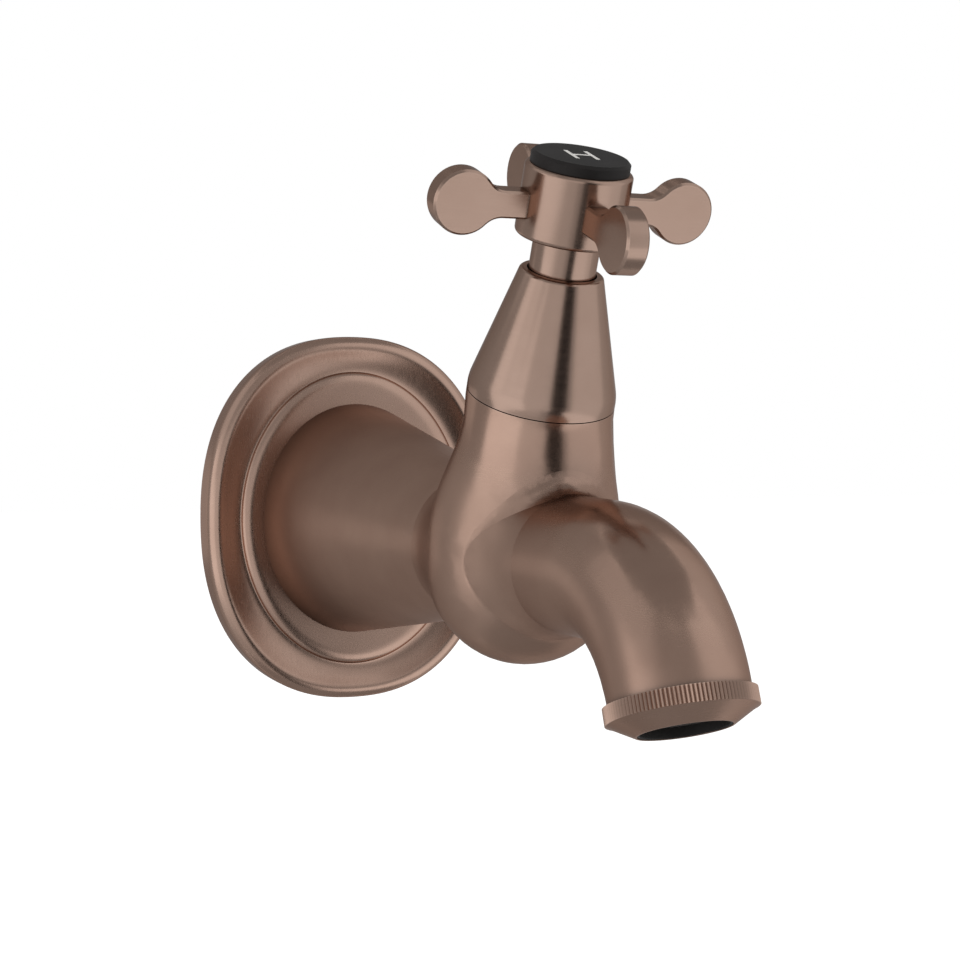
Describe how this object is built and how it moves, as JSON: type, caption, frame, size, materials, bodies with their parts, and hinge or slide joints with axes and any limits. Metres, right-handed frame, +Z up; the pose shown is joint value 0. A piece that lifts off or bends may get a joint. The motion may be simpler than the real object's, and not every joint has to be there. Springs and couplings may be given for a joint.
{
  "type": "bib tap",
  "caption": "Wall-held bib tap with an oval plate, long tapering shank, leaning stem, cross handle and a swept spout with an aerator.",
  "frame": {"origin": "centre of the inlet thread at the wall plane, behind the wall plate", "axes": "+Y into the wall along the inlet thread, -Y out towards the user, +X to the right of someone facing the wall, +Z up"},
  "size_m": [0.0728, 0.1984, 0.1189],
  "materials": {
    "antique_copper": "brushed antique copper plating on brass",
    "raw_brass": "machined brass",
    "steel": "stainless steel",
    "black_rubber": "moulded nitrile rubber",
    "fibre": "red fibre sealing ring",
    "ceramic": "lapped alumina ceramic",
    "white_plastic": "acetal",
    "black_plastic": "satin black moulded plastic"
  },
  "bodies": {
    "tap": {"tap_body": "antique_copper", "wall_flange": "antique_copper", "flange_o_ring": "black_rubber", "inlet_nipple": "raw_brass", "nipple_seal": "fibre", "strainer_washer": "black_rubber", "inlet_strainer": "steel", "bonnet": "antique_copper", "headwork_body": "raw_brass", "headwork_gasket": "fibre", "seat_seal": "black_rubber", "fixed_disc": "ceramic", "aerator_ring": "antique_copper", "aerator_insert": "black_plastic", "aerator_mesh": "steel", "aerator_washer": "black_rubber"},
    "handle": {"neck_sleeve": "antique_copper", "cross_handle": "antique_copper", "spindle": "raw_brass", "spline_bush": "raw_brass", "spindle_clip": "steel", "handle_screw": "steel", "spindle_o_rings": "black_rubber", "cap_o_ring": "black_rubber", "moving_disc": "ceramic", "thrust_washer": "white_plastic", "index_cap": "black_plastic"}
  },
  "joints": [
    {"name": "handle_turn", "type": "hinge", "parent": "tap", "child": "handle", "pos_m": [0, -0.10655, 0], "axis": [0, -0.3838, 0.9234], "range_deg": [0, 90]}
  ]
}
